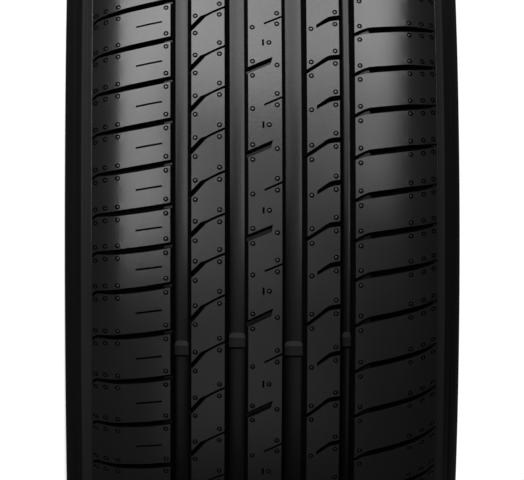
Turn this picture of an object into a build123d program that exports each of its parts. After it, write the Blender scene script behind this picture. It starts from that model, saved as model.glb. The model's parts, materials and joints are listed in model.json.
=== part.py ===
"""A radial car tyre of size 225/45 R17, moulded in one piece.

The wheel axis is Z and the origin is the middle of the tyre, which lies on one sidewall.
Angles round the axis start at -Y and grow towards +X. A positive axial place is on the +Z side.
The casing is truly round. The tread on it is a ring of flats, one to each pitch of the pattern.
"""

from build123d import *
from math import asin, cos, radians, sin, tan
import os

# Size of the tyre and of the rim that it fits, in millimetres
overall_diameter = 634.3
section_width = 225.0
bead_seat_diameter = 436.6
rim_width = 190.5

# Crown: three arcs that follow each other from the middle to the tread edge, and flats that stand for them
crown_radius = 555.0
shoulder_radius = 120.0
edge_radius = 42.0

# Distance of the tread edge from the widest place, and of the arcs, flats, belt and liner from that edge
tread_inset = 15.5
shoulder_inset = 45.0
edge_inset = 19.0
flat_insets = (27.0, 12.0)
belt_inset = 21.0
liner_inset = 17.0

# Sidewall: widest place as a share of the section height, then the buttress, which stands back from the tread
# edge and ends at shares of the way down and out to the widest place
widest_share = 0.442
buttress_step = 1.6
buttress_shares = (0.43, 0.62)
lower_wall_radius = 60.0

# Bead and rim protector: heights above the bead seat and above the rim flange, and widths
flange_rise = 6.2
protector_rise = 15.0
protector_height = 2.0
protector_half_width = 4.0
heel_width = 6.0
seat_width = 12.5

# Thickness of the casing and of the rubber under the grooves
tread_depth = 8.0
under_tread = 4.0
casing_thickness = 5.5
wall_thickness = 9.0

# Main grooves: axial place of the middle and width at the top of each, and the draft of its walls in degrees
left_groove = (-46.35, 11.5)
left_centre_groove = (-15.25, 12.9)
right_centre_groove = (17.3, 13.8)
right_groove = (47.0, 8.4)
outer_wall_draft = 18.0
inner_wall_draft = 9.0

# Pitches: three lengths, and their order over half a turn
pitch_ratio = {"S": 0.92, "M": 1.0, "L": 1.0933}
pitch_runs = ("MMMMM", "SS", "LLLL", "MM", "SSSS", "LLL", "MM", "SSSS", "LLL", "MM", "SSSS", "LL", "MMMM")
first_pitch_angle = -25.4
flat_lead = 0.42

# Slots: lag at the groove and at the blind end, as a share of the pitch, then the place of the blind end,
# which is its distance from the tread edge on the shoulders and its axial place on the ribs
left_slot_lags = (-0.02, 0.2)
right_slot_lags = (0.82, 0.47)
shoulder_slot_margin = 2.0
second_rib_lags = (0.77, 0.38)
second_rib_end = -31.0
centre_lags = (0.8, 0.563)
centre_end = 4.5
fourth_rib_lags = (0.45, 0.52)
fourth_rib_end = 36.0

# Slot depths at the groove and where a slot has run out, and widths at the top of a slot of full depth
shoulder_slot_depth = 6.6
rib_slot_depth = 6.5
slot_runout = -0.3
shoulder_slot_width = 3.0
rib_slot_width = 3.4
slot_overrun = 3.0

outer_radius = overall_diameter / 2
seat_radius = bead_seat_diameter / 2
half_width = section_width / 2
tread_edge = half_width - tread_inset
shoulder_start = tread_edge - shoulder_inset
edge_start = tread_edge - edge_inset
belt_edge = tread_edge - belt_inset
widest_radius = seat_radius + widest_share * (outer_radius - seat_radius)
casing_radius = outer_radius - tread_depth - under_tread
liner_radius = casing_radius - casing_thickness
lap = casing_thickness / 2


def crown_at(axial):
    """Radius of the crown at an axial place, on the three arcs."""
    place = abs(axial)
    first = min(place, shoulder_start) / crown_radius
    drop = crown_radius * (1 - cos(asin(first)))
    if place > shoulder_start:
        second = first + (min(place, edge_start) - shoulder_start) / shoulder_radius
        drop += shoulder_radius * (cos(asin(first)) - cos(asin(second)))
    if place > edge_start:
        third = second + (place - edge_start) / edge_radius
        drop += edge_radius * (cos(asin(second)) - cos(asin(third)))
    return outer_radius - drop


def buttress_at(axial):
    """Radius of the straight buttress, which stands back from the tread edge, at an axial place."""
    top = crown_at(tread_edge) - buttress_step
    down, out = buttress_shares
    return top - (axial - tread_edge) * down * (top - widest_radius) / (out * tread_inset)


def round_axis(radius, angle, axial):
    """A point at a radius, an angle from -Y in degrees and an axial place."""
    return Vector(radius * sin(radians(angle)), -radius * cos(radians(angle)), axial)


def groove_edges(groove):
    """Axial places of the two edges of a main groove, from its middle and its width."""
    middle, width = groove
    return middle - width / 2, middle + width / 2


def groove_corners(groove):
    """The four corners of a main groove, as radius and axial place."""
    low, high = groove_edges(groove)
    low_draft, high_draft = inner_wall_draft, outer_wall_draft
    if abs(low) > abs(high):
        low_draft, high_draft = outer_wall_draft, inner_wall_draft
    floor = crown_at(groove[0]) - tread_depth
    low_floor = low + (crown_at(low) - floor) * tan(radians(low_draft))
    high_floor = high - (crown_at(high) - floor) * tan(radians(high_draft))
    return [(crown_at(low), low), (floor, low_floor), (floor, high_floor), (crown_at(high), high)]


def tread_outline():
    """Corners of the tread section, as radius and axial place, round to its underside in the casing."""
    places = [tread_edge - inset for inset in (*flat_insets, 0)]
    shoulder = [(crown_at(place), place) for place in places]
    corners = [(radius, -place) for radius, place in reversed(shoulder)]
    for groove in (left_groove, left_centre_groove, right_centre_groove, right_groove):
        corners += groove_corners(groove)
    root = buttress_at(tread_edge) - lap
    under = casing_radius - lap
    corners += shoulder
    corners += [(root, tread_edge), (under, belt_edge), (under, -belt_edge), (root, -tread_edge)]
    return corners


def tread_length(pitch_angle):
    """One pitch of the tread ring: the section drawn straight, with both ends cut towards the axis."""
    half = radians(pitch_angle / 2)
    with BuildPart() as length:
        with BuildSketch(Plane((0, 0, 0), x_dir=(0, -1, 0), z_dir=(-1, 0, 0))):
            Polygon(*[(radius * cos(half), axial) for radius, axial in tread_outline()], align=None)
        extrude(amount=overall_diameter * sin(half), both=True)
        for side in (-1, 1):
            split(bisect_by=Plane((0, 0, 0), z_dir=(-side * cos(half), -sin(half), 0)), keep=Keep.TOP)
    return length.part


def slot(pitch_angle, start, end, width):
    """A wedge whose sharp edge runs from start to end, each an axial place, a lag and a depth."""
    first, last = [round_axis(crown_at(a) - d, lag * pitch_angle, a) for a, lag, d in (start, end)]
    run = last - first
    outward = round_axis(1, (start[1] + end[1]) / 2 * pitch_angle, 0)
    height = 2 * tread_depth
    with BuildPart() as wedge:
        with BuildSketch(Plane(first, x_dir=outward.cross(run), z_dir=run)):
            Polygon((0, 0), (width, height), (-width, height), align=None)
        extrude(amount=run.length)
    return wedge.part


def shoulder_slot(pitch_angle, edge, lags):
    """A slot from a main groove's outer edge across the shoulder, running out before the tread edge."""
    out = 1 if edge > 0 else -1
    start = (edge - out * slot_overrun, lags[0], shoulder_slot_depth)
    end = (out * (tread_edge - shoulder_slot_margin), lags[1], slot_runout)
    return slot(pitch_angle, start, end, shoulder_slot_width)


def rib_slot(pitch_angle, edge, blind_end, lags, end_depth=rib_slot_depth):
    """A slot from a rib's edge to its blind end on the rib."""
    into = 1 if blind_end > edge else -1
    start = (edge - into * slot_overrun, lags[0], rib_slot_depth)
    return slot(pitch_angle, start, (blind_end, lags[1], end_depth), rib_slot_width)


half_turn = "".join(pitch_runs)
pitch_order = half_turn + half_turn
pitch_unit = 360 / sum(pitch_ratio[letter] for letter in pitch_order)
pitch_angles = {letter: ratio * pitch_unit for letter, ratio in pitch_ratio.items()}

# One set of tread length and slots for each pitch length
lengths = {}
slots = {}
centre_slots = {}
for letter, pitch_angle in pitch_angles.items():
    lengths[letter] = tread_length(pitch_angle)
    slots[letter] = [
        shoulder_slot(pitch_angle, groove_edges(left_groove)[0], left_slot_lags),
        shoulder_slot(pitch_angle, groove_edges(right_groove)[1], right_slot_lags),
        rib_slot(pitch_angle, groove_edges(left_groove)[1], second_rib_end, second_rib_lags, slot_runout),
        rib_slot(pitch_angle, groove_edges(right_groove)[0], fourth_rib_end, fourth_rib_lags),
    ]
    centre_edge = groove_edges(left_centre_groove)[1]
    centre_slots[letter] = rib_slot(pitch_angle, centre_edge, centre_end, centre_lags)

# The pitches follow each other round the tyre, and every second one has a slot in the centre rib
flats = []
cuts = []
turn = first_pitch_angle
for index, letter in enumerate(pitch_order):
    middle = turn - flat_lead + pitch_angles[letter] / 2
    flats.append(lengths[letter].moved(Location((0, 0, 0), (0, 0, middle))))
    pitch_cuts = slots[letter] + ([centre_slots[letter]] if index % 2 else [])
    cuts += [cutter.moved(Location((0, 0, 0), (0, 0, turn))) for cutter in pitch_cuts]
    turn += pitch_angles[letter]

with BuildPart() as tyre:
    with BuildSketch(Plane.XZ) as section:
        with BuildLine():
            # From the tread edge down the outside to the bead, then up the inside to the liner
            foot_place = tread_edge + buttress_shares[1] * tread_inset
            flange_radius = seat_radius + flange_rise
            protector_radius = flange_radius + protector_rise
            protector_top = protector_radius + protector_half_width
            lower_reach = widest_radius - protector_top
            lower_drop = lower_wall_radius - (lower_wall_radius**2 - lower_reach**2) ** 0.5
            protector_place = half_width - lower_drop
            bead_face = rim_width / 2
            Polyline(
                (casing_radius, 0),
                (casing_radius, belt_edge),
                (buttress_at(tread_edge - lap / 4), tread_edge - lap / 4),
                (buttress_at(foot_place), foot_place),
                (widest_radius, half_width),
                (protector_top, protector_place),
                (protector_radius, protector_place + protector_height),
                (flange_radius, bead_face),
                (seat_radius, bead_face - heel_width),
                (seat_radius, bead_face - heel_width - seat_width),
                (protector_top, protector_place - wall_thickness),
                (widest_radius, half_width - wall_thickness),
                (liner_radius, tread_edge - liner_inset),
                (liner_radius, 0),
            )
            mirror(about=Plane.XZ)
        make_face()
    revolve(axis=Axis.Z)
    add(flats)
    add(cuts, mode=Mode.SUBTRACT)

tyre.part.label = "tyre"
os.makedirs("parts", exist_ok=True)
export_step(tyre.part, "parts/tyre.step")
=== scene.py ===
"""Looks of a moulded car tyre: tread with slots, sipes and vent marks, sidewalls, beads and liner.

Sizes of the tyre are in millimetres until a mesh is made, those of the lamps and the stage in metres.
A place on the tread is an axial place along Z, a run round the crown from the start of a pitch, and a depth
below the crown. Angles start at -Y and grow towards +X.
"""

import json
import math

import bpy
import numpy as np
from mathutils import Matrix, Vector
from mathutils.geometry import delaunay_2d_cdt


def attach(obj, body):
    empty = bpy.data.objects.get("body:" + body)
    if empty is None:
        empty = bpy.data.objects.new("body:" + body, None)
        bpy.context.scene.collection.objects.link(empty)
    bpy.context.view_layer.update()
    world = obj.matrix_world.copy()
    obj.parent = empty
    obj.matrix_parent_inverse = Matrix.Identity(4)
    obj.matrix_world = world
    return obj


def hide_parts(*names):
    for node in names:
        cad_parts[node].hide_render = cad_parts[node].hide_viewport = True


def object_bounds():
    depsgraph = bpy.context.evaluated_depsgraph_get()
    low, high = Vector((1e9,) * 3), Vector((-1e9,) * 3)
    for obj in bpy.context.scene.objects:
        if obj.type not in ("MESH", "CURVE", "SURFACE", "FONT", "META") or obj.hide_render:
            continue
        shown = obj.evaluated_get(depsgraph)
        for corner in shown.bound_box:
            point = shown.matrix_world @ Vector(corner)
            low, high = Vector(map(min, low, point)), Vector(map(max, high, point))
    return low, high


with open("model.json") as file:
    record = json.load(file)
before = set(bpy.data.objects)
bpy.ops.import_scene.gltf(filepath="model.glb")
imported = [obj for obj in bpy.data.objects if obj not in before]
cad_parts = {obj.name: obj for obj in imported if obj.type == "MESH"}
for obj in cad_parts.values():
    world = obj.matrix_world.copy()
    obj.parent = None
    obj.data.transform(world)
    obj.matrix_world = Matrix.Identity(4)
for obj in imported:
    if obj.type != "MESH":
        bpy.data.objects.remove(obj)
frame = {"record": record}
cad_low, cad_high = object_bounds()
mm = 0.001

# Size of the tyre and of the rim seat in its beads, from the frame
rim_seat = frame["record"]["mounts"][0]["dims"]
outer_radius = min(cad_high.x, cad_high.y) / mm
half_width = cad_high.z / mm
seat_radius = rim_seat["r_mm"]

# Crown: three arcs from the middle to the tread edge, and the axial places where they meet
crown_radius = 555.0
shoulder_radius = 120.0
edge_radius = 42.0
shoulder_start = 52.0
edge_start = 78.0

# Tread edges: axial places, width of the round lip, and inset and drop of the points that follow it
tread_edges = (-97.0, 98.6)
lip_width = 0.45
lip_points = ((0.3, 0.04), (0.1, 0.18), (0.0, 0.4), (0.0, 5.0))

# Main grooves: depth, depth of the walls, draft of outer and inner walls, and steps and power of the floor
groove_depth = 8.0
wall_depth = 7.0
outer_draft = math.radians(20)
inner_draft = math.radians(13)
floor_steps = 8
floor_power = 0.6

# Bevel on the edges of slots, sipes and grooves: reach outside and inside the edge, and depth
bevel_out = 0.2
bevel_in = 0.1
bevel_depth = 0.3

# Blunt ends of slots: reach of the bevel past the end, and lean of the wall as a share of the depth
end_bevel = 0.1
end_draft = 0.06

# Section of a slot in shares of its deep half width: feet of the walls, flat bottom, start of the ledge
foot_share = 0.62
bottom_share = 0.25
ledge_share = 0.85

# Section of a slot in shares of its depth: feet of the walls, and deepest ledge
foot_depth_share = 0.88
ledge_depth_share = 0.75

# Ledge in a slot: fall towards the wall, and distance from the foot of the bevel
ledge_fall = 0.1
ledge_gap = 0.02

# Faces that have the slots' near-black rubber, painted shade: least mean depth
slot_shade_depth = 0.35

# Faces on ledges, which have the floors' darker rubber, painted shade: depths between which they lie, and
# most that they differ
ledge_shade_depths = (1.5, 4.1)
ledge_flatness = 0.25

# Wear bars: number of sets, lap into the walls, depths of top and foot, runs, and angles of the first set
bar_sets = 6
bar_lap = 0.4
bar_depth = 6.4
bar_foot_depth = 9.0
bar_runs = (-6.4, -1.9, 3.6, 5.9)
bar_angles = (11.4, 10.5)

# Faces of a wear bar: corners and material of each, with the steep end in near-black rubber, painted shade
bar_faces = ((0, 2, 3, 1), (2, 4, 5, 3), (4, 6, 7, 5), (0, 1, 7, 6), (0, 6, 4, 2), (1, 3, 5, 7))
bar_shade_marks = (0, 0, 1, 0, 0, 0)

# Pitches: three lengths, their order, which stands twice round the tyre, angle of the first, and steps
pitch_ratio = {"S": 0.92, "M": 1.0, "L": 1.0933}
pitch_runs = ("MMMMM", "SS", "LLLL", "MM", "SSSS", "LLL", "MM", "SSSS", "LLL", "MM", "SSSS", "LL", "MMMM")
first_pitch_angle = -25.4
pitch_steps = 6
half_turn = "".join(pitch_runs)
pitch_order = half_turn + half_turn
pitch_unit = 2 * math.pi / sum(pitch_ratio[letter] for letter in pitch_order)

# Ribs from the -Z side on: axial places of their edges, and the run at which pitches meet on them
ribs = {
    "left_shoulder": (tread_edges[0], -52.1, -7.0),
    "second": (-40.6, -21.7, -0.8),
    "centre": (-8.8, 10.4, 0.35),
    "fourth": (24.2, 42.8, 2.5),
    "right_shoulder": (51.2, tread_edges[1], 3.5),
}

# Slots, with points that give axial place, lag as a share of the pitch, half width, depth and ledge width
slots = {
    "left_shoulder": {
        "kind": "ledge",
        "ends": ("groove", "blunt"),
        "ledge_depth": 2.4,
        "points": [
            (-52.0, -0.018, 1.50, 5.2, 1.5),
            (-55.6, 0.009, 1.52, 5.2, 1.5),
            (-56.2, 0.014, 1.52, 5.7, 0.1),
            (-62.5, 0.059, 1.56, 5.7, 0.1),
            (-66.5, 0.084, 1.56, 5.7, 0.1),
            (-70.5, 0.108, 1.56, 5.7, 0.1),
            (-74.5, 0.129, 1.54, 5.7, 0.1),
            (-78.5, 0.152, 1.48, 5.3, 0.1),
            (-82.5, 0.174, 1.35, 4.8, 0.1),
            (-86.5, 0.189, 1.15, 4.0, 0.1),
            (-90.5, 0.196, 0.90, 3.0, 0.1),
            (-93.2, 0.202, 0.75, 2.4, 0.1),
            (-94.8, 0.236, 0.68, 2.1, 0.1),
            (-96.0, 0.284, 0.62, 1.8, 0.1),
        ],
    },
    "left_sipe": {
        "kind": "sipe",
        "ends": ("blunt", "blunt"),
        "points": [
            (-57.0, 0.529, 0.44, 4.0, 0),
            (-64.0, 0.571, 0.46, 4.5, 0),
            (-71.5, 0.616, 0.44, 4.0, 0),
        ],
    },
    "second": {
        "kind": "slot",
        "ends": ("groove", "groove"),
        "upright": True,
        "points": [
            (ribs["second"][0], 0.731, 1.80, 5.6, 0),
            (-38.0, 0.619, 1.80, 5.6, 0),
            (-35.4, 0.503, 1.80, 5.6, 0),
            (-33.9, 0.455, 1.25, 5.2, 0),
            (-32.4, 0.408, 0.66, 4.8, 0),
            (-28.8, 0.328, 0.56, 4.5, 0),
            (-25.2, 0.258, 0.56, 4.5, 0),
            (ribs["second"][1], 0.198, 0.56, 4.5, 0),
        ],
    },
    "centre_slot": {
        "kind": "ledge",
        "ends": ("groove", "blunt"),
        "ledge_depth": 2.8,
        "slant": 0.25,
        "points": [
            (-8.6, 0.80, 1.6, 5.6, 1.7),
            (-2.0, 0.68, 1.6, 5.6, 1.7),
            (4.5, 0.563, 1.6, 5.6, 1.7),
        ],
    },
    "centre_sipe": {
        "kind": "sipe",
        "ends": ("blunt", "groove"),
        "points": [
            (0.4, 0.635, 0.46, 4.0, 0),
            (5.5, 0.543, 0.50, 4.5, 0),
            (ribs["centre"][1], 0.453, 0.50, 4.5, 0),
        ],
    },
    "fourth_through": {
        "kind": "slot",
        "ends": ("groove", "groove"),
        "points": [
            (ribs["fourth"][0], 0.832, 0.88, 5.4, 0),
            (28.0, 0.728, 0.88, 5.4, 0),
            (32.0, 0.612, 0.92, 5.4, 0),
            (35.4, 0.512, 1.10, 5.6, 0),
            (37.4, 0.478, 1.30, 5.6, 0),
            (40.0, 0.462, 1.34, 5.6, 0),
            (ribs["fourth"][1], 0.450, 1.36, 5.6, 0),
        ],
    },
    "fourth_blind": {
        "kind": "slot",
        "ends": ("blunt", "groove"),
        "points": [
            (29.9, 0.692, 0.74, 4.4, 0),
            (33.0, 0.605, 0.92, 5.4, 0),
            (35.8, 0.528, 1.10, 5.6, 0),
            (37.6, 0.490, 1.30, 5.6, 0),
            (40.0, 0.468, 1.34, 5.6, 0),
            (ribs["fourth"][1], 0.450, 1.36, 5.6, 0),
        ],
    },
    "right_shoulder": {
        "kind": "ledge",
        "ends": ("groove", "blunt"),
        "ledge_depth": 1.9,
        "points": [
            (ribs["right_shoulder"][0], 0.882, 0.80, 4.2, 0.3),
            (54.0, 0.824, 1.05, 4.2, 0.9),
            (56.8, 0.777, 1.30, 4.2, 1.6),
            (59.4, 0.748, 1.62, 4.2, 2.1),
            (60.0, 0.744, 1.66, 5.7, 0.1),
            (64.8, 0.710, 1.66, 5.7, 0.1),
            (70.4, 0.675, 1.64, 5.7, 0.1),
            (76.0, 0.634, 1.62, 5.7, 0.1),
            (81.6, 0.591, 1.60, 5.3, 0.1),
            (86.0, 0.558, 1.46, 4.4, 0.1),
            (90.0, 0.520, 1.22, 3.4, 0.15),
            (93.0, 0.486, 0.98, 2.6, 0.15),
            (97.6, 0.416, 0.70, 1.7, 0.15),
        ],
    },
}

# Slit along the centre rib in odd pitches: axial place, lags of its ends, half width and depth
slit_place = -0.2
slit_lags = (0.04, 0.19)
slit_half_width = 0.46
slit_depth = 3.0

# Which slots each rib has in even and in odd pitches
rib_slots = {
    "left_shoulder": (("left_shoulder", "left_sipe"), ("left_shoulder", "left_sipe")),
    "second": (("second",), ("second",)),
    "centre": (("centre_sipe",), ("centre_slot",)),
    "fourth": (("fourth_blind",), ("fourth_through",)),
    "right_shoulder": (("right_shoulder",), ("right_shoulder",)),
}

# Vent marks: radius and depth of each ring, corners of a ring, and depth of the pin, which stands proud
vent_rings = ((1.52, 0.0), (1.28, 0.75), (0.86, 0.75), (0.64, 0.05))
vent_corners = 10
vent_pin_depth = -0.15

# Vent marks beside slots: axial place, and distance either side of the slot's middle
slot_vents = {
    "left_shoulder": ((-54.7, 4.0), (-81.8, 3.7), (-88.8, 3.7), (-94.4, 3.9)),
    "second": ((-38.3, 5.4), (-24.7, 3.4)),
    "centre_slot": ((-6.2, 4.2),),
    "centre_sipe": ((7.6, 3.3),),
    "fourth_through": ((26.8, 4.1), (40.4, 3.8)),
    "fourth_blind": ((40.4, 3.8),),
    "right_shoulder": ((54.3, 4.2), (82.6, 3.9), (89.9, 3.9), (95.8, 3.9)),
}

# Vent marks apart from slots: axial place and lag, in even and in odd pitches
free_vents = {
    "centre": (((-6.2, 0.73),), ((7.6, 0.675), (3.1, 0.115))),
    "fourth": (((26.8, 0.755),), ()),
}

# Casing: heights of crown and liner above the bead seat, edge of the belt, and heel and face of the bead
casing_height = 86.2
liner_height = 81.1
belt_edge = 70.0
heel_width = 6.0
bead_face = rim_seat["length_mm"] / 2 + heel_width

# Underside of the tread: depth inside the casing's crown, and axial places of its corners on both halves
under_sink = 1.5
under_places = {-1: (-76.0, -15.0), 1: (-14.8, 76.0)}

# Band below a tread edge: drop below the edge, axial place and round of its start, end and foot
band_start = (0.6, 96.2, 0)
band_end = (8.4, 102.7, 0.4)
band_foot = (9.8, 102.9, 0.3)

# Lines pressed into the band: shares of the way along it, half width as such a share, and depth
band_lines = (0.46, 0.74)
band_line_half = 0.05
band_line_depth = 0.15

# Corners of the casing below the band: height above the bead seat, inset from the outside, and round
sidewall_corners = ((53.7, 0.0, 30.0), (34.2, 0.0, 58.0))
protector_corners = ((25.0, 3.0, 1.5), (22.4, 0.8, 1.2), (20.1, 0.9, 1.2), (15.2, 7.0, 9.0))
bead_corners = ((9.2, 0.0, 5.0), (0.0, 0.0, 6.1), (0.0, 19.25, 1.4), (4.7, 17.75, 1.5))
inner_corners = ((21.7, 14.0, 18.0), (43.7, 8.7, 40.0), (68.7, 17.5, 30.0), (liner_height, 34.5, 20.0))

# Ring lines pressed into the sidewalls: radii, width and depth
ring_radii = (seat_radius + 62.7, seat_radius + 45.7, seat_radius + 30.7)
ring_width = 1.4
ring_depth = 0.4

# Points on the tops of ribs: spacing on shoulders and on other ribs, and distance from edges
shoulder_spacing = 4.2
rib_spacing = 6.5
top_clearance = 1.1

# Lines of slots: gap to points along an edge, reach past the ends, and least share of normals along the run
edge_gap = 0.5
slot_overrun = 8.0
least_normal = 0.2

# Joining of points: tolerance in a plan, and grid on which points of the tread become one
plan_tolerance = 1e-4
weld_grid = 0.002

# Steps of the casing's mesh: degrees to a step of a round, and steps round the axis to a pitch
arc_step = 7
turns_per_pitch = 4

# Angles in degrees from which an edge of each kind of piece looks sharp
tread_sharp_angle = 28
bar_sharp_angle = 20
casing_sharp_angle = 40

# Rubbers: colour, roughness, specular level, scale of the grain and strength of its relief. Colours other
# than the tread's are darker copies, painted shade, and lighter copies, painted light
rubbers = {
    "tread_rubber": ((0.0065, 0.0065, 0.0068), 0.30, 0.5, 900.0, 0.25),
    # Painted shade: near-black rubber in slots, on all edge bevels and on the wear bars' steep ends
    "slot_rubber": ((0.0015, 0.0015, 0.0016), 0.50, 0.03, 700.0, 0.35),
    # Painted shade: darker rubber on the grooves' floors and on the ledges in slots
    "groove_rubber": ((0.003, 0.003, 0.0032), 0.31, 0.22, 700.0, 0.35),
    # Painted light: lighter rubber on the wear bars
    "bar_rubber": ((0.0095, 0.0095, 0.0098), 0.55, 0.06, 700.0, 0.35),
    # Painted light: lighter rubber on the band below each tread edge
    "band_rubber": ((0.012, 0.012, 0.0125), 0.36, 0.5, 700.0, 0.3),
    # Painted shade: darker rubber on the casing's sidewalls, beads and liner
    "wall_rubber": ((0.004, 0.004, 0.0042), 0.42, 0.12, 700.0, 0.3),
}

# Noise in all rubbers: scale of the clouds, how far they vary tint and roughness, and height of the grain
cloud_scale = 14.0
tint_range = (0.85, 1.15)
roughness_swing = 0.05
grain_height = 0.2

# Camera: picture width and focal length in pixels, distance from the axis, aim, turn, sensor and reach
image_width = 524
focal_pixels = 4455
camera_distance = 2800
camera_place = -1.1
camera_yaw = math.radians(0.94)
sensor_width = 36
camera_reach = 200

# Lamps before the tread: degrees above the camera, distance, place along the axis, size and power
front_lamps = {
    "left_key": (60, 1.8, -0.8, (1.0, 1.2), 28),
    "mid_key": (54, 1.8, -0.08, (0.6, 1.5), 17.5),
    "right_key": (60, 1.8, 0.7, (0.8, 1.2), 21.5),
    "left_half_key": (22, 2.2, -1.2, (1.3, 1.8), 38),
    "right_half_key": (28, 2.2, 0.9, (1.0, 1.2), 12),
    "front_fill": (6, 2.6, -0.28, (1.2, 1.9), 5.8),
    "low_fill": (-34, 2.6, -0.2, (1.1, 1.2), 2.1),
}

# Lamps behind the tyre: places, size and power
back_lamps = {"back_fill": (2.2, 2.2, 0.9), "side_fill": (-2.2, 2.2, 0.9)}
back_lamp_size = (0.8, 1.6)
back_lamp_power = 90

# Stage: half sizes of floor and backdrop, place of the backdrop, and how bright each is seen
floor_half = 60.0
backdrop_half = 4.0
backdrop_place = 20.0
floor_glow = 0.75
backdrop_glow = 1.0

# Paint of the stage: white, roughness and specular level, and strength of the world round it
stage_white = 0.9
stage_roughness = 0.9
stage_specular = 0.1
world_strength = 0.03


def crown_at(axial):
    """Radius of the crown at an axial place, on the three arcs."""
    place = np.abs(axial)
    first = np.minimum(place, shoulder_start) / crown_radius
    second = first + np.clip(place - shoulder_start, 0, edge_start - shoulder_start) / shoulder_radius
    third = second + np.maximum(place - edge_start, 0) / edge_radius
    lean = [np.sqrt(1 - sine**2) for sine in (first, second, third)]
    drop = crown_radius * (1 - lean[0]) + shoulder_radius * (lean[0] - lean[1])
    return outer_radius - drop - edge_radius * (lean[1] - lean[2])


def groove_wall(depth, draft):
    """How far a groove's wall stands out from the groove's edge at a depth."""
    if depth <= bevel_depth:
        return -bevel_out + (bevel_out + bevel_in) * depth / bevel_depth
    return bevel_in + (depth - bevel_depth) * math.tan(draft)


def blunt_wall(depth):
    """How far a slot's blunt end stands back from the slot's end at a depth."""
    return depth * end_draft - end_bevel * max(0.0, 1 - depth / bevel_depth)


def section_of(kind, half, depth, ledge, ledge_depth):
    """Section across a slot as offsets and depths, towards growing runs, with any ledge on the far side."""
    if kind == "sipe":
        return [
            (-half - bevel_out / 2, 0),
            (-half + bevel_in / 2, bevel_depth),
            (0, depth),
            (half - bevel_in / 2, bevel_depth),
            (half + bevel_out / 2, 0),
        ]
    deep = half - ledge / 2
    middle = -ledge / 2
    section = [
        (-half - bevel_out, 0),
        (-half + bevel_in, bevel_depth),
        (middle - foot_share * deep, foot_depth_share * depth),
        (middle - bottom_share * deep, depth),
        (middle + bottom_share * deep, depth),
        (middle + foot_share * deep, foot_depth_share * depth),
    ]
    if kind == "ledge":
        shelf = min(ledge_depth, ledge_depth_share * depth)
        section += [(middle + ledge_share * deep, shelf), (half - bevel_in - ledge_gap, shelf + ledge_fall)]
    return section + [(half - bevel_in, bevel_depth), (half + bevel_out, 0)]


class Plan:
    """Flat plan of one rib over one pitch: points with a depth, and the edges that its faces keep to."""

    def __init__(self):
        self.points = []
        self.edges = []

    def add(self, axial, run, depth):
        """Adds a point and gives its number."""
        self.points.append((axial, run, depth))
        return len(self.points) - 1

    def join(self, indices, closed=False):
        """Adds edges from point to point, and back to the first if they close."""
        self.edges += list(zip(indices, indices[1:]))
        if closed:
            self.edges.append((indices[-1], indices[0]))

    def line(self, points, closed=False):
        """Adds points with edges from one to the next, and gives their numbers."""
        indices = [self.add(*point) for point in points]
        self.join(indices, closed)
        return indices


def cut_line(line, direction, stop):
    """A line from its first point to where its reach along a direction passes stop."""
    for number in range(1, len(line)):
        before, after = line[number - 1], line[number]
        low, high = before[:2] @ direction - stop, after[:2] @ direction - stop
        if low * high <= 0 and low != high:
            return line[:number] + [before + (after - before) * low / (low - high)]
    return line


def long_path(points):
    """Points along the middle of a slot, with one more straight on past each end."""
    path = np.array(points, float)
    for end, inner in ((0, 1), (-1, -2)):
        ray = path[end, :2] - path[inner, :2]
        beyond = path[end].copy()
        beyond[:2] += ray / np.linalg.norm(ray) * slot_overrun
        path = np.insert(path, 0 if end == 0 else len(path), beyond, axis=0)
    return path


def path_normals(path):
    """Directions across a path, which face growing runs where the path lies across the rib."""
    steps = np.diff(path[:, :2], axis=0)
    steps /= np.linalg.norm(steps, axis=1)[:, None]
    tangents = np.vstack([steps[:1], steps[:-1] + steps[1:], steps[-1:]])
    tangents /= np.linalg.norm(tangents, axis=1)[:, None]
    normals = np.column_stack([-tangents[:, 1], tangents[:, 0]])
    if np.abs(normals[:, 1]).min() > least_normal:
        normals *= np.sign(normals[:, [1]])
    return normals


def close_end(plan, row, blunt):
    """Edges across one end of a slot, through the ends of its lines. A blunt end has a rim and a bevel."""
    if blunt:
        plan.join([row[0], row[-1]])
        plan.join([row[1], row[-2]])
        plan.join(row[2:-2])
    else:
        plan.join(row)


def lay_slot(plan, kind, points, cuts, ledge_depth=0.0, upright=False):
    """Lines along a slot, one for each corner of its section, cut at both ends, and joined across the ends.

    points hold axial place, run, half width, depth and ledge. cuts give, for each end, the direction along
    which the end is measured, a function from the depth of a line to the reach at which that line ends, and
    whether the end is blunt. An upright slot has its widths measured along the run.
    """
    path = long_path(points)
    normals = path_normals(path)
    if upright:
        normals[:] = (0.0, 1.0)
    sections = [section_of(kind, *row[2:], ledge_depth) for row in path]
    ends = ([], [])
    for column in range(len(sections[0])):
        line = []
        for row, normal, section in zip(path, normals, sections):
            offset, depth = section[column]
            line.append(np.array([*(row[:2] + normal * offset), depth]))
        line = cut_line(line[::-1], cuts[0][0], cuts[0][1](line[1][2]))[::-1]
        line = cut_line(line, cuts[1][0], cuts[1][1](line[-2][2]))
        indices = plan.line([tuple(point) for point in line])
        ends[0].append(indices[0])
        ends[1].append(indices[-1])
    for row, (_, _, blunt) in zip(ends, cuts):
        close_end(plan, row, blunt)
    return ends


def blunt_end(direction, point, away):
    """Cut of a slot at a blunt end, which lies along a direction (1) or against it (-1) from the slot."""
    reach = direction @ point[:2]

    def wall(depth):
        return reach - away * blunt_wall(depth)

    return direction, wall, True


def groove_end(edge, out, draft):
    """Cut of a slot at the groove's wall by a rib's edge, on the rib's low side (-1) or high side (1)."""

    def wall(depth):
        return edge + out * groove_wall(depth, draft)

    return np.array([1.0, 0.0]), wall, False


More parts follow.
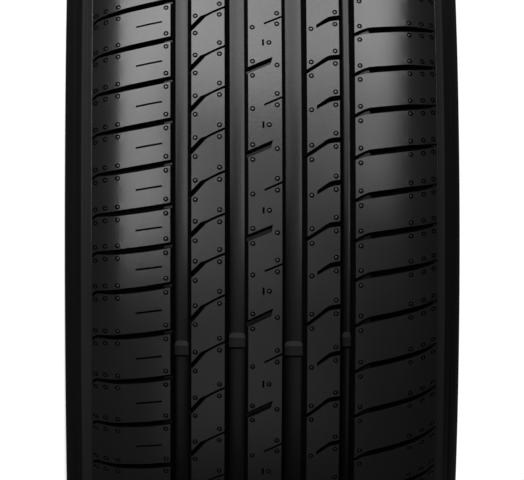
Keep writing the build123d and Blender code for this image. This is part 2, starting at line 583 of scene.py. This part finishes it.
def lay_slit(plan, length):
    """The slit along the centre rib, blunt at both ends."""
    points = [(slit_place, lag * length, slit_half_width, slit_depth, 0) for lag in slit_lags]
    along = np.array([0.0, 1.0])
    lay_slot(plan, "sipe", points, [blunt_end(along, points[0], -1), blunt_end(along, points[1], 1)])


def runs_from(seam, length):
    """Runs at the steps along a pitch of a length that starts at a seam."""
    return [seam + length * number / pitch_steps for number in range(pitch_steps + 1)]


def lay_edge(plan, place, depth, runs, mouths):
    """A line along a groove's edge, broken where slots open through it."""
    stops = [(plan.points[low][1], plan.points[high][1]) for low, high in mouths]
    row = []
    for run in runs:
        if not any(low - edge_gap < run < high + edge_gap for low, high in stops):
            row.append((run, plan.add(place, run, depth), None))
    for number, (low, high) in enumerate(mouths):
        row += [(plan.points[low][1], low, number), (plan.points[high][1], high, number)]
    row.sort(key=lambda entry: entry[0])
    for first, second in zip(row, row[1:]):
        if first[2] is None or first[2] != second[2]:
            plan.edges.append((first[1], second[1]))


def lay_vent(plan, axial, run):
    """A vent mark: a ring pressed into the tread round a domed pin."""
    turns = [2 * math.pi * corner / vent_corners for corner in range(vent_corners)]
    for radius, depth in vent_rings:
        ring = [(axial + radius * math.cos(turn), run + radius * math.sin(turn), depth) for turn in turns]
        plan.line(ring, closed=True)
    plan.add(axial, run, vent_pin_depth)


def run_at(points, axial):
    """Run of a slot's middle at an axial place."""
    rows = sorted((point[0], point[1]) for point in points)
    return float(np.interp(axial, [row[0] for row in rows], [row[1] for row in rows]))


def distance_to_edges(plan, point):
    """Distance from a point to the nearest edge of a plan."""
    tiny = 1e-9
    ends = np.array([[plan.points[a][:2], plan.points[b][:2]] for a, b in plan.edges])
    start, ray = ends[:, 0], ends[:, 1] - ends[:, 0]
    share = np.clip(((point - start) * ray).sum(1) / np.maximum((ray**2).sum(1), tiny), 0, 1)
    return np.linalg.norm(start + ray * share[:, None] - point, axis=1).min()


def rib_rows(name):
    """Lines along a rib: rows of its low side, places on top, rows of its high side, and both drafts."""
    low, high, _ = ribs[name]
    low_draft = outer_draft if low > 0 else inner_draft
    high_draft = outer_draft if high < 0 else inner_draft
    levels = (wall_depth, bevel_depth, 0.0)
    low_rows = [(low - groove_wall(depth, low_draft), depth) for depth in levels]
    high_rows = [(high + groove_wall(depth, high_draft), depth) for depth in reversed(levels)]
    if name == "left_shoulder":
        low_rows = [(low + lip_width, 0.0)]
    if name == "right_shoulder":
        high_rows = [(high - lip_width, 0.0)]
    first, last = low_rows[-1][0], high_rows[0][0]
    spacing = shoulder_spacing if "shoulder" in name else rib_spacing
    count = max(2, round((last - first) / spacing))
    tops = [first + (last - first) * number / count for number in range(1, count)]
    return low_rows, tops, high_rows, low_draft, high_draft


def slot_cuts(slot, points, rib):
    """How both ends of a slot are cut, a blunt one by its slant, and any side to which each opens."""
    low, high, _ = ribs[rib]
    _, _, _, low_draft, high_draft = rib_rows(rib)
    cuts, sides = [], []
    for end, closing in zip((0, -1), slot["ends"]):
        place = points[end][0]
        if closing == "blunt":
            away = 1 if place > points[-1 - end][0] else -1
            cuts.append(blunt_end(np.array([1.0, slot.get("slant", 0.0)]), points[end], away))
            sides.append(None)
        elif abs(place - low) < abs(place - high):
            cuts.append(groove_end(low, -1, low_draft))
            sides.append("low")
        else:
            cuts.append(groove_end(high, 1, high_draft))
            sides.append("high")
    return cuts, sides


def lay_rib_slots(plan, name, length, parity):
    """Slots and vent marks of a rib over one pitch. Gives the slot ends that open on each side."""
    mouths = {"low": [], "high": []}
    for slot_name in rib_slots[name][parity]:
        slot = slots[slot_name]
        points = [(place, lag * length, *sizes) for place, lag, *sizes in slot["points"]]
        cuts, sides = slot_cuts(slot, points, name)
        shelf, upright = slot.get("ledge_depth", 0.0), slot.get("upright", False)
        ends = lay_slot(plan, slot["kind"], points, cuts, shelf, upright)
        for side, row in zip(sides, ends):
            if side:
                mouths[side].append(row)
        for axial, reach in slot_vents.get(slot_name, ()):
            for side in (-1, 1):
                lay_vent(plan, axial, run_at(points, axial) + side * reach)
    for axial, lag in free_vents.get(name, ((), ()))[parity]:
        lay_vent(plan, axial, lag * length)
    if name == "centre" and parity == 1:
        lay_slit(plan, length)
    return mouths


def lay_rib_side(plan, rows, runs, mouths):
    """Lines along one side of a rib, at the top and the foot of its bevel broken where slots open."""
    for place, depth in rows:
        level = {0.0: 0, bevel_depth: 1}.get(depth)
        open_at = [] if level is None else [(row[level], row[-1 - level]) for row in mouths]
        lay_edge(plan, place, depth, runs, open_at)


def lay_rib_top(plan, tops, runs):
    """Points on the top of a rib that are clear of all edges."""
    for run in runs:
        for place in tops:
            if distance_to_edges(plan, np.array([place, run])) > top_clearance:
                plan.add(place, run, 0.0)


def fill_plan(plan):
    """Points of a plan with depths, and triangles between them that keep to its edges and face outwards."""
    flat = [Vector(point[:2]) for point in plan.points]
    corners, _, faces, origins, _, _ = delaunay_2d_cdt(flat, plan.edges, [], 0, plan_tolerance)
    points = []
    for corner, origin in zip(corners, origins):
        depth = plan.points[origin[0]][2] if origin else 0.0
        points.append((corner[0], corner[1], depth))
    return np.array(points), [tuple(reversed(face)) for face in faces]


def rib_plan(name, length, parity):
    """Points and faces of one rib over one pitch of a length."""
    low_rows, tops, high_rows, _, _ = rib_rows(name)
    runs = runs_from(ribs[name][2], length)
    plan = Plan()
    mouths = lay_rib_slots(plan, name, length, parity)
    lay_rib_side(plan, low_rows, runs, mouths["low"])
    lay_rib_side(plan, high_rows, runs, mouths["high"])
    across = [*low_rows, *((place, 0.0) for place in tops), *high_rows]
    for run in (runs[0], runs[-1]):
        plan.line([(place, run, depth) for place, depth in across])
    lay_rib_top(plan, tops, runs[1:-1])
    return fill_plan(plan)


def strip(rows, length):
    """Faces between rows along a pitch, each an axial place, a depth and the run at which it starts."""
    points = []
    for place, depth, seam in rows:
        points += [(place, run, depth) for run in runs_from(seam, length)]
    faces = []
    for row in range(len(rows) - 1):
        for number in range(pitch_steps):
            a = row * (pitch_steps + 1) + number
            b = a + pitch_steps + 1
            faces.append((a, a + 1, b + 1, b))
    return np.array(points), faces


def floor_rows(lower_rib, upper_rib, share=None):
    """Rows of the round floor between two ribs, or of one half of it, below or above its middle."""
    low_place, low_seam = rib_rows(lower_rib)[2][-1][0], ribs[lower_rib][2]
    high_place, high_seam = rib_rows(upper_rib)[0][0][0], ribs[upper_rib][2]
    rows = []
    for turn in range(floor_steps + 1):
        swing = math.pi * turn / floor_steps
        part = (1 - math.cos(swing)) / 2
        depth = wall_depth + (groove_depth - wall_depth) * math.sin(swing) ** floor_power
        place = low_place + (high_place - low_place) * part
        rows.append((place, depth, low_seam + (high_seam - low_seam) * part))
    if share == "below":
        return rows[:floor_steps // 2 + 1]
    if share == "above":
        return rows[floor_steps // 2:]
    return rows


def edge_rows(side):
    """Rows from the rim of a shoulder down over the tread edge, on the -Z side (-1) or the +Z side (1)."""
    seam = ribs["left_shoulder" if side < 0 else "right_shoulder"][2]
    edge = tread_edges[0 if side < 0 else 1]
    lip = float(crown_at(edge - side * lip_width))
    rows = [(edge - side * lip_width, 0.0, seam)]
    for inset, drop in lip_points:
        place = edge - side * inset
        rows.append((place, float(crown_at(place)) - lip + drop, seam))
    return rows if side > 0 else rows[::-1]


def under_rows(first, last, places):
    """Rows of the hidden underside of the tread, from a first row to a last row, through axial places."""
    under_radius = seat_radius + casing_height - under_sink
    rows = [first]
    for place in places:
        share = (place - first[0]) / (last[0] - first[0])
        seam = first[2] + (last[2] - first[2]) * share
        rows.append((place, float(crown_at(place)) - under_radius, seam))
    return [*rows, last]


def tread_half(side):
    """Names of the ribs on one half of the tread, and the rows of its edge, floors and underside."""
    names = list(ribs)[:2] if side < 0 else list(ribs)[2:]
    split = floor_rows("second", "centre")[floor_steps // 2]
    edge = edge_rows(side)
    if side < 0:
        floors = [floor_rows("left_shoulder", "second"), floor_rows("second", "centre", "below")]
        under = under_rows(edge[0], split, under_places[side])
    else:
        floors = [floor_rows("second", "centre", "above"), floor_rows("centre", "fourth")]
        floors.append(floor_rows("fourth", "right_shoulder"))
        under = under_rows(split, edge[-1], under_places[side])
    return names, [edge, *floors, under[::-1]]


def wrap(points, turn):
    """Flat points on the tread as points in space, from a pitch that starts at an angle in radians."""
    axial, run, depth = points.T
    radius = crown_at(axial) - depth
    angle = turn + run / outer_radius
    return np.column_stack([radius * np.sin(angle), -radius * np.cos(angle), axial])


def weld(points, faces, marks):
    """Points that coincide become one, and the faces follow with their marks."""
    keys = np.round(points / weld_grid).astype(np.int64)
    _, kept, places = np.unique(keys, axis=0, return_index=True, return_inverse=True)
    places = places.ravel()
    welded, kept_marks = [], []
    for face, mark in zip(faces, marks):
        corners = [int(places[corner]) for corner in face]
        if len(set(corners)) == len(corners):
            welded.append(corners)
            kept_marks.append(mark)
    return points[kept], welded, kept_marks


def add_piece(name, points, faces, marks, materials, sharp_angle):
    """A mesh that stands for the tyre and rides on its one body. Marks give the material of each face."""
    mesh = bpy.data.meshes.new(name)
    mesh.from_pydata((points * mm).tolist(), [], faces)
    mesh.shade_smooth()
    mesh.set_sharp_from_angle(angle=math.radians(sharp_angle))
    for material in materials:
        mesh.materials.append(material)
    mesh.polygons.foreach_set("material_index", marks)
    piece = bpy.data.objects.new(name, mesh)
    bpy.context.scene.collection.objects.link(piece)
    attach(piece, "root")
    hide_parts("tyre")


def mark_of(depths):
    """Material of a face from its corners' depths: 0 on the top, 1 in slots and on bevels, where near-black
    rubber is painted shade, 2 on floors and ledges, where darker rubber is painted shade.
    """
    shallow, deep = ledge_shade_depths
    shaded_ledge = shallow < depths.min() and depths.max() < deep and np.ptp(depths) < ledge_flatness
    if depths.min() >= wall_depth or shaded_ledge:
        return 2
    # Bevels of every edge get the near-black rubber too, painted shade that keeps the edges from catching
    # light
    bevel = math.isclose(depths.max(), bevel_depth)
    return int(bevel or depths.mean() > slot_shade_depth)


def make_tread(name, side, materials):
    """One half of the tread, pitch after pitch round the tyre."""
    names, strips = tread_half(side)
    plans = {}
    for letter, ratio in pitch_ratio.items():
        length = ratio * pitch_unit * outer_radius
        for parity in (0, 1):
            parts = [rib_plan(rib, length, parity) for rib in names]
            parts += [strip(rows, length) for rows in strips]
            plans[letter, parity] = parts
    points, faces, marks, count = [], [], [], 0
    turn = math.radians(first_pitch_angle)
    for index, letter in enumerate(pitch_order):
        for flat, flat_faces in plans[letter, index % 2]:
            points.append(wrap(flat, turn))
            faces += [tuple(corner + count for corner in face) for face in flat_faces]
            marks += [mark_of(flat[list(face), 2]) for face in flat_faces]
            count += len(flat)
        turn += pitch_ratio[letter] * pitch_unit
    add_piece(name, *weld(np.vstack(points), faces, marks), materials, tread_sharp_angle)


def make_wear_bars(materials):
    """Low bars across the grooves' floors, in sets round the tyre, each with a ramp and a steep end."""
    names = list(ribs)
    depths = (bar_foot_depth, bar_depth, bar_depth, bar_foot_depth)
    points, faces, marks = [], [], []
    for bar_set in range(bar_sets):
        for number, (lower, upper) in enumerate(zip(names, names[1:])):
            rows = floor_rows(lower, upper)
            places = (rows[0][0] - bar_lap, rows[-1][0] + bar_lap)
            turn = math.radians(bar_angles[number % 2] + 360 / bar_sets * bar_set)
            corners = [(place, run, depth) for run, depth in zip(bar_runs, depths) for place in places]
            first = len(points)
            points += wrap(np.array(corners), turn).tolist()
            faces += [tuple(first + corner for corner in face) for face in bar_faces]
            marks += bar_shade_marks
    add_piece("wear_bars", np.array(points), faces, marks, materials, bar_sharp_angle)


def rounded(corners):
    """A line through corners, each a radius from the axis, an axial place and the radius of its round."""
    line = []
    for number, (radial, axial, round_radius) in enumerate(corners):
        here = np.array([radial, axial])
        if round_radius == 0:
            line.append(here)
            continue
        back = np.array(corners[number - 1][:2]) - here
        ahead = np.array(corners[number + 1][:2]) - here
        back, ahead = back / np.linalg.norm(back), ahead / np.linalg.norm(ahead)
        half = math.acos(np.clip(back @ ahead, -1, 1)) / 2
        reach = round_radius / math.tan(half)
        middle = here + (back + ahead) / np.linalg.norm(back + ahead) * round_radius / math.sin(half)
        start, end = here + back * reach - middle, here + ahead * reach - middle
        span = math.pi - 2 * half
        steps = max(2, round(math.degrees(span) / arc_step))
        for step in range(steps + 1):
            share = step / steps
            blend = start * math.sin((1 - share) * span) + end * math.sin(share * span)
            line.append(middle + blend / math.sin(span))
    return line


def band_corner(drop, place, round_radius):
    """A corner of the section at a drop below the crown's edge, with its axial place and round."""
    return float(crown_at(tread_edges[0])) - drop, place, round_radius


def band_corners():
    """Corners of the straight band below the tread edge, with its pressed lines, and of its foot."""
    first, last = band_corner(*band_start), band_corner(*band_end)
    start = np.array(first[:2])
    along = np.array(last[:2]) - start
    inward = np.array([-along[1], along[0]]) / np.linalg.norm(along)
    inward *= -np.sign(inward[1])
    corners = [first]
    for share in band_lines:
        for step, sink in ((-band_line_half, 0.0), (0.0, band_line_depth), (band_line_half, 0.0)):
            corners.append((*(start + along * (share + step) + inward * sink), 0))
    return [*corners, last, band_corner(*band_foot)]


def wall_corners(corners, outermost):
    """Corners of the section from heights above the bead seat and insets from an outermost axial place."""
    return [(seat_radius + height, outermost - inset, bend) for height, inset, bend in corners]


def casing_outline():
    """Corners of half the casing's section, from the crown down the outside and back up the inside."""
    return [
        (seat_radius + casing_height, 0.0, 0),
        (seat_radius + casing_height, belt_edge, 0),
        *band_corners(),
        *wall_corners(sidewall_corners, half_width),
        *wall_corners(protector_corners, half_width),
        *wall_corners(bead_corners, bead_face),
        *wall_corners(inner_corners, half_width),
        (seat_radius + liner_height, 0.0, 0),
    ]


def ring_lines(line):
    """A section line with fine ring lines pressed into the outer face of the sidewall."""
    turn = max(range(len(line)), key=lambda number: line[number][1])
    first = next(number for number in range(turn) if line[number][0] < ring_radii[0] + ring_width)
    lowest = ring_radii[-1] - ring_width
    last = next(number for number in range(turn, len(line)) if line[number][0] < lowest)
    wall = line[first - 1:last + 1]
    sink = {}
    for radius in ring_radii:
        sink.update({radius + ring_width / 2: 0.0, radius: ring_depth, radius - ring_width / 2: 0.0})
    clear = [point for point in wall if min(abs(point[0] - radius) for radius in ring_radii) > ring_width]
    places = np.array(wall)[::-1]
    pressed = [np.array([r, np.interp(r, places[:, 0], places[:, 1]) - depth]) for r, depth in sink.items()]
    return line[:first - 1] + sorted(clear + pressed, key=lambda point: -point[0]) + line[last + 1:]


def on_band(radial, axial):
    """Whether a corner of the section lies on the straight of a band."""
    return radial > band_corner(*band_foot)[0] and band_start[1] <= abs(axial) < band_end[1]


def make_casing(materials):
    """The casing under the tread with sidewalls, beads and liner, turned round the axis."""
    half = ring_lines(rounded(casing_outline()))[1:-1]
    loop = [tuple(point) for point in half]
    loop += [(radial, -axial) for radial, axial in reversed(half)]
    size = len(loop)
    turns = turns_per_pitch * len(pitch_order)
    points, faces = [], []
    for turn in range(turns):
        angle = turn * 2 * math.pi / turns
        points += [(radial * math.sin(angle), -radial * math.cos(angle), axial) for radial, axial in loop]
        here, there = turn * size, (turn + 1) % turns * size
        for corner in range(size):
            after = (corner + 1) % size
            faces.append((here + corner, there + corner, there + after, here + after))
    # The band below each tread edge gets the lighter rubber, painted light, and the rest of the casing the
    # darker rubber, painted shade
    banded = [on_band(*corner) for corner in loop]
    marks = [int(banded[corner] and banded[(corner + 1) % size]) for corner in range(size)] * turns
    add_piece("casing", np.array(points), faces, marks, materials, casing_sharp_angle)


def node(tree, kind, **inputs):
    """A shader node with some of its inputs set."""
    made = tree.nodes.new(kind)
    for key, value in inputs.items():
        made.inputs[key].default_value = value
    return made


def spread(tree, low, high):
    """A shader node that spreads a value from 0 to 1 over a range."""
    made = tree.nodes.new("ShaderNodeMapRange")
    made.inputs["To Min"].default_value = low
    made.inputs["To Max"].default_value = high
    return made


def rubber(name, colour, roughness, specular, grain, bump):
    """Satin rubber with a fine moulded grain."""
    material = bpy.data.materials.new(name)
    material.use_nodes = True
    tree = material.node_tree
    shader = tree.nodes["Principled BSDF"]
    shader.inputs["Specular IOR Level"].default_value = specular
    place = tree.nodes.new("ShaderNodeTexCoord")
    fine = node(tree, "ShaderNodeTexNoise", Scale=grain, Detail=4.0, Roughness=0.6)
    cloud = node(tree, "ShaderNodeTexNoise", Scale=cloud_scale, Detail=3.0, Roughness=0.5)
    tint = spread(tree, *tint_range)
    shade = tree.nodes.new("ShaderNodeVectorMath")
    shade.operation = "SCALE"
    shade.inputs[0].default_value = colour
    gloss = spread(tree, roughness - roughness_swing, roughness + roughness_swing)
    relief = node(tree, "ShaderNodeBump", Strength=bump, Distance=grain_height * mm)
    link = tree.links.new
    for noise in (fine, cloud):
        link(place.outputs["Object"], noise.inputs["Vector"])
    link(cloud.outputs["Fac"], tint.inputs["Value"])
    link(tint.outputs["Result"], shade.inputs["Scale"])
    link(shade.outputs["Vector"], shader.inputs["Base Color"])
    link(cloud.outputs["Fac"], gloss.inputs["Value"])
    link(gloss.outputs["Result"], shader.inputs["Roughness"])
    link(fine.outputs["Fac"], relief.inputs["Height"])
    link(relief.outputs["Normal"], shader.inputs["Normal"])
    return material


def make_camera():
    """A long lens on the middle of the tread, turned so that the tyre seems to stand on its tread."""
    target = Vector((0, -outer_radius, camera_place)) * mm
    reach = (camera_distance - outer_radius) * mm
    ahead = Vector((0, math.cos(camera_yaw), math.sin(camera_yaw)))
    up = Vector((-1, 0, 0))
    right = ahead.cross(up)
    lens = bpy.data.cameras.new("camera")
    lens.sensor_width = sensor_width
    lens.lens = focal_pixels / image_width * sensor_width
    lens.clip_end = camera_reach
    camera = bpy.data.objects.new("camera", lens)
    turn = Matrix((right, up, -ahead)).transposed().to_4x4()
    camera.matrix_world = Matrix.Translation(target - ahead * reach) @ turn
    bpy.context.scene.collection.objects.link(camera)
    bpy.context.scene.camera = camera


def softbox(name, place, aim, size, power):
    """A rectangular lamp at a place, turned to a point, with a size along Z and across."""
    lamp = bpy.data.lights.new(name, "AREA")
    lamp.shape = "RECTANGLE"
    lamp.size, lamp.size_y = size
    lamp.energy = power
    box = bpy.data.objects.new(name, lamp)
    ahead = (Vector(aim) - Vector(place)).normalized()
    along = Vector((0, 0, 1))
    along = (along - ahead * along.dot(ahead)).normalized()
    turn = Matrix((along, (-ahead).cross(along), -ahead)).transposed().to_4x4()
    box.matrix_world = Matrix.Translation(Vector(place)) @ turn
    bpy.context.scene.collection.objects.link(box)


def make_lights():
    """Softboxes above, before and below the middle of the tread, and two more behind the tyre."""
    front = (0, -outer_radius * mm, 0)
    for name, (lift, distance, side, size, power) in front_lamps.items():
        lift = math.radians(lift)
        place = (-math.sin(lift) * distance, front[1] - math.cos(lift) * distance, side)
        softbox(name, place, front, size, power)
    for name, place in back_lamps.items():
        softbox(name, place, (0, 0, 0), back_lamp_size, back_lamp_power)


def stage_paint(name, glow):
    """White paint that takes shadows, and that the camera, metal and glass also see lit evenly."""
    material = bpy.data.materials.new(name)
    material.use_nodes = True
    tree = material.node_tree
    shader = tree.nodes["Principled BSDF"]
    shader.inputs["Base Color"].default_value = (stage_white, stage_white, stage_white, 1)
    shader.inputs["Roughness"].default_value = stage_roughness
    shader.inputs["Specular IOR Level"].default_value = stage_specular
    shader.inputs["Emission Color"].default_value = (1, 1, 1, 1)
    path = tree.nodes.new("ShaderNodeLightPath")
    seen = path.outputs["Is Camera Ray"]
    for ray in ("Is Glossy Ray", "Is Transmission Ray"):
        either = tree.nodes.new("ShaderNodeMath")
        either.operation = "MAXIMUM"
        tree.links.new(seen, either.inputs[0])
        tree.links.new(path.outputs[ray], either.inputs[1])
        seen = either.outputs["Value"]
    strength = tree.nodes.new("ShaderNodeMath")
    strength.operation = "MULTIPLY"
    strength.inputs[1].default_value = glow
    tree.links.new(seen, strength.inputs[0])
    tree.links.new(strength.outputs["Value"], shader.inputs["Emission Strength"])
    return material


def stage_sheet(name, corners, glow):
    """A flat white sheet that casts no shadow and adds no diffuse light."""
    mesh = bpy.data.meshes.new(name)
    mesh.from_pydata(corners, [], [(0, 1, 2, 3)])
    mesh.materials.append(stage_paint(name, glow))
    sheet = bpy.data.objects.new(name, mesh)
    sheet.visible_diffuse = False
    sheet.visible_shadow = False
    bpy.context.scene.collection.objects.link(sheet)
    return sheet


def make_stage():
    """A pale floor under the tyre, a white backdrop far behind it, and a dim even world."""
    world = bpy.data.worlds.new("world")
    world.use_nodes = True
    background = world.node_tree.nodes["Background"]
    background.inputs["Color"].default_value = (1, 1, 1, 1)
    background.inputs["Strength"].default_value = world_strength
    bpy.context.scene.world = world
    square = ((-1, -1), (1, -1), (1, 1), (-1, 1))
    floor_corners = [(x * floor_half, y * floor_half, cad_low.z) for x, y in square]
    back_corners = [(x * backdrop_half, backdrop_place, z * backdrop_half) for x, z in square]
    floor = stage_sheet("floor", floor_corners, floor_glow)
    backdrop = stage_sheet("backdrop", back_corners, backdrop_glow)
    floor.visible_glossy = False


materials = {name: rubber(name, *look) for name, look in rubbers.items()}
# Near-black rubber in slots and on bevels, and darker rubber on floors and ledges, are painted shade
tread_materials = [materials[name] for name in ("tread_rubber", "slot_rubber", "groove_rubber")]
make_tread("tread_low_side", -1, tread_materials)
make_tread("tread_high_side", 1, tread_materials)
# The wear bars' lighter rubber is painted light, the near-black rubber on their steep ends painted shade
make_wear_bars([materials[name] for name in ("bar_rubber", "slot_rubber")])
# The casing's darker rubber is painted shade, the band's lighter rubber painted light
make_casing([materials[name] for name in ("wall_rubber", "band_rubber")])
make_camera()
make_lights()
make_stage()
bpy.context.scene.view_settings.view_transform = "Standard"
